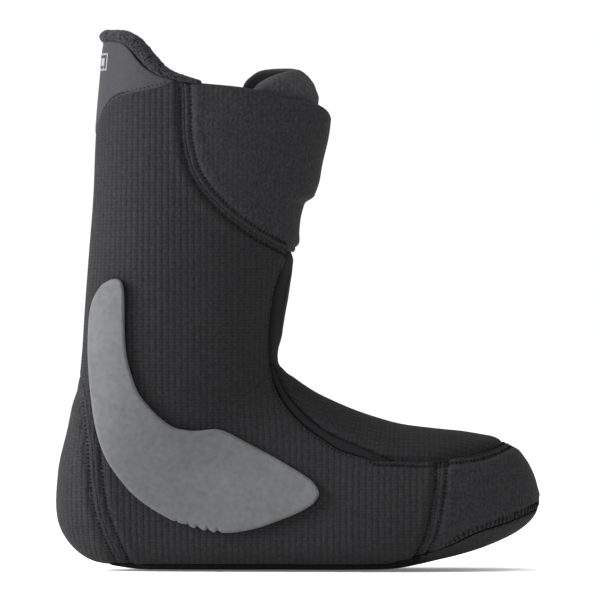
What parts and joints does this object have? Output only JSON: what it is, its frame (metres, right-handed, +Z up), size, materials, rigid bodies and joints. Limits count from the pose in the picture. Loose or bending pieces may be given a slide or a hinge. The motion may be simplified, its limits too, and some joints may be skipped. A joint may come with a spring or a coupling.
{
  "type": "snowboard boot liner",
  "caption": "Removable foam inner liner of a right snowboard boot: padded shaft with opening cuff flaps, tilting tongue, grey ankle wedges and a soft sole.",
  "frame": {"origin": "middle of the liner's length and width, on the surface it stands on", "axes": "+X towards the toe, +Y towards the medial side of a right foot, +Z up the shaft"},
  "size_m": [0.2894, 0.1054, 0.3235],
  "materials": {
    "embossed_fabric": "fabric embossed with a small grid, over foam",
    "smooth_fabric": "smooth stretch fabric",
    "fleece": "short brushed pile",
    "grey_foam": "moulded closed-cell foam, matte",
    "grey_patch": "fine matte synthetic leather",
    "white_foam": "open-cell foam",
    "board": "fibre board",
    "plastic": "thin moulded sheet",
    "hook_tape": "hook and loop tape",
    "label": "plain woven label with no text",
    "sole_fabric": "woven sole fabric"
  },
  "bodies": {
    "liner": {"quarter_lateral": "embossed_fabric", "quarter_medial": "embossed_fabric", "heel_cup": "embossed_fabric", "toe_cap": "embossed_fabric", "instep_pad": "embossed_fabric", "gusset_lateral": "smooth_fabric", "gusset_medial": "smooth_fabric", "cuff_front_lateral": "embossed_fabric", "cuff_front_medial": "embossed_fabric", "lining": "fleece", "heel_counter": "plastic", "ankle_pad_lateral": "white_foam", "ankle_pad_medial": "white_foam", "sole_sheet": "sole_fabric", "lasting_board": "board", "footbed": "white_foam", "collar_patch": "grey_patch", "collar_lip": "fleece", "collar_label": "label", "jbar_lateral": "grey_foam", "jbar_medial": "grey_foam"},
    "lateral_flap": {"cuff_flap_lateral": "embossed_fabric", "flap_hook_patch": "hook_tape"},
    "medial_flap": {"cuff_flap_medial": "embossed_fabric"},
    "tongue": {"tongue_foam": "embossed_fabric", "tongue_lining": "fleece", "tongue_stiffener": "plastic", "tongue_loop_patch": "hook_tape"}
  },
  "joints": [
    {"name": "lateral_flap_open", "type": "hinge", "parent": "liner", "child": "lateral_flap", "pos_m": [-0.0218, -0.0434, 0.199], "axis": [0.193, 0.0987, -0.9762], "range_deg": [0, 95]},
    {"name": "medial_flap_open", "type": "hinge", "parent": "liner", "child": "medial_flap", "pos_m": [-0.0218, 0.04146, 0.199], "axis": [-0.193, 0.0987, 0.9762], "range_deg": [0, 86]},
    {"name": "tongue_tilt", "type": "hinge", "parent": "liner", "child": "tongue", "pos_m": [-0.0106, 0, 0.1245], "axis": [0, 1, 0], "range_deg": [0, 14]}
  ],
  "couplings": [
    {"joint": "medial_flap_open", "follows": "lateral_flap_open", "ratio": 0.9},
    {"joint": "tongue_tilt", "follows": "lateral_flap_open", "ratio": 0.14}
  ]
}
